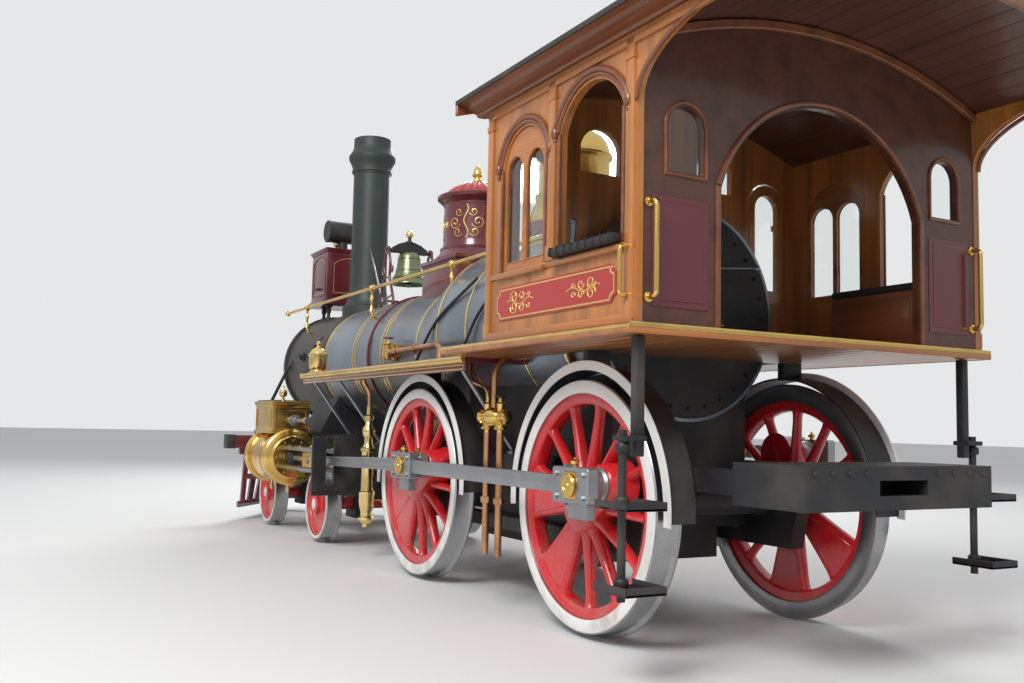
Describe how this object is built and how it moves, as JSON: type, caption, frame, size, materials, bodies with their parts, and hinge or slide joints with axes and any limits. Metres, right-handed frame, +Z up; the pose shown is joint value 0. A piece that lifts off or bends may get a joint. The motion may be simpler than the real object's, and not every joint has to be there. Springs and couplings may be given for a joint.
{
  "type": "steam locomotive",
  "caption": "Wood-cabbed steam locomotive with a pilot, leading truck, coupled driving wheels, bell, straight stack and box headlight; wheels, rods, bell and doors move.",
  "frame": {"origin": "on the floor under the middle of the engine's length and width", "axes": "+X forward to the pilot, +Y to the engine's left, +Z up"},
  "size_m": [9.94, 2.706, 4.228],
  "materials": {
    "wheel_red": "gloss red wheel centres, steel tyres",
    "frame_black": "black painted iron",
    "rod_steel": "bright worked steel",
    "brass": "polished brass",
    "jacket_iron": "blue-grey planished iron",
    "smokebox_grey": "dark graphite finish",
    "stack_green": "green-black paint",
    "maroon": "gloss maroon paint",
    "cab_wood": "varnished orange-brown wood",
    "bell_bronze": "greenish bronze"
  },
  "bodies": {
    "engine": {"main_rod_left": "rod_steel", "main_rod_right": "rod_steel", "crosshead_left": "rod_steel", "crosshead_right": "rod_steel", "guides_left": "rod_steel", "guides_right": "rod_steel", "cylinder_left": "brass", "cylinder_right": "brass", "steam_chest_left": "brass", "steam_chest_right": "brass", "steam_dome": "brass", "handrail_left": "brass", "handrail_right": "brass", "feed_pump_left": "brass", "feed_pump_right": "brass", "injector_left": "brass", "injector_right": "brass", "guide_yoke": "frame_black", "frame_left": "frame_black", "frame_right": "frame_black", "tail_casting": "frame_black", "firebox": "frame_black", "saddle": "frame_black", "step_left": "frame_black", "step_right": "frame_black", "front_beam": "maroon", "pilot": "maroon", "headlight": "maroon", "bell_stand": "maroon", "sand_dome": "maroon", "running_board_left": "maroon", "running_board_right": "maroon", "boiler": "jacket_iron", "smokebox": "smokebox_grey", "smokebox_front": "smokebox_grey", "stack": "stack_green", "cab_left": "cab_wood", "cab_right": "cab_wood", "cab_front": "cab_wood", "cab_rear": "cab_wood", "cab_roof": "cab_wood", "cab_floor": "cab_wood"},
    "rear_driver": {"rear_driver_axle": "rod_steel", "rear_driver_wheel_left": "wheel_red", "rear_driver_wheel_right": "wheel_red"},
    "front_driver": {"front_driver_axle": "rod_steel", "front_driver_wheel_left": "wheel_red", "front_driver_wheel_right": "wheel_red"},
    "side_rod_left_body": {"side_rod_left": "rod_steel"},
    "side_rod_right_body": {"side_rod_right": "rod_steel"},
    "truck": {"truck_frame": "frame_black"},
    "truck_front_axle": {"truck_front_wheelset": "wheel_red"},
    "truck_rear_axle": {"truck_rear_wheelset": "wheel_red"},
    "smokebox_door_body": {"smokebox_door": "smokebox_grey"},
    "fire_door_body": {"fire_door": "frame_black"},
    "front_door_left_body": {"front_door_left": "cab_wood"},
    "front_door_right_body": {"front_door_right": "cab_wood"},
    "bell_body": {"bell": "bell_bronze"}
  },
  "joints": [
    {"name": "front_driver_spin", "type": "hinge", "parent": "engine", "child": "front_driver", "pos_m": [-0.924, 0, 0.714], "axis": [0, 1, 0], "continuous": true},
    {"name": "rear_driver_spin", "type": "hinge", "parent": "engine", "child": "rear_driver", "pos_m": [-3.17, 0, 0.714], "axis": [0, 1, 0], "continuous": true},
    {"name": "side_rod_left_pin", "type": "hinge", "parent": "rear_driver", "child": "side_rod_left_body", "pos_m": [-3.44863, 1.035, 0.83805], "axis": [0, 1, 0], "continuous": true},
    {"name": "side_rod_right_pin", "type": "hinge", "parent": "rear_driver", "child": "side_rod_right_body", "pos_m": [-3.04595, -1.035, 0.99263], "axis": [0, 1, 0], "continuous": true},
    {"name": "truck_swivel", "type": "hinge", "parent": "engine", "child": "truck", "pos_m": [2.26, 0, 0.778], "axis": [0, 0, 1], "range_deg": [-2, 2]},
    {"name": "truck_front_spin", "type": "hinge", "parent": "truck", "child": "truck_front_axle", "pos_m": [3.11, 0, 0.358], "axis": [0, 1, 0], "continuous": true},
    {"name": "truck_rear_spin", "type": "hinge", "parent": "truck", "child": "truck_rear_axle", "pos_m": [1.41, 0, 0.358], "axis": [0, 1, 0], "continuous": true},
    {"name": "smokebox_door_hinge", "type": "hinge", "parent": "engine", "child": "smokebox_door_body", "pos_m": [3.4823, 0.464, 1.748], "axis": [0, 0, 1], "range_deg": [0, 110]},
    {"name": "fire_door_hinge", "type": "hinge", "parent": "engine", "child": "fire_door_body", "pos_m": [-3.112, 0.202, 1.888], "axis": [0, 0, 1], "range_deg": [-100, 0]},
    {"name": "front_door_left_hinge", "type": "hinge", "parent": "engine", "child": "front_door_left_body", "pos_m": [-2.708, 1.0645, 2.228], "axis": [0, 0, 1], "range_deg": [0, 100]},
    {"name": "front_door_right_hinge", "type": "hinge", "parent": "engine", "child": "front_door_right_body", "pos_m": [-2.708, -1.0645, 2.228], "axis": [0, 0, 1], "range_deg": [-100, 0]},
    {"name": "bell_swing", "type": "hinge", "parent": "engine", "child": "bell_body", "pos_m": [1.28, 0, 2.828], "axis": [0, 1, 0], "range_deg": [-60, 60]}
  ],
  "couplings": [
    {"joint": "rear_driver_spin", "follows": "front_driver_spin", "ratio": 1},
    {"joint": "side_rod_left_pin", "follows": "front_driver_spin", "ratio": -1},
    {"joint": "side_rod_right_pin", "follows": "front_driver_spin", "ratio": -1}
  ]
}
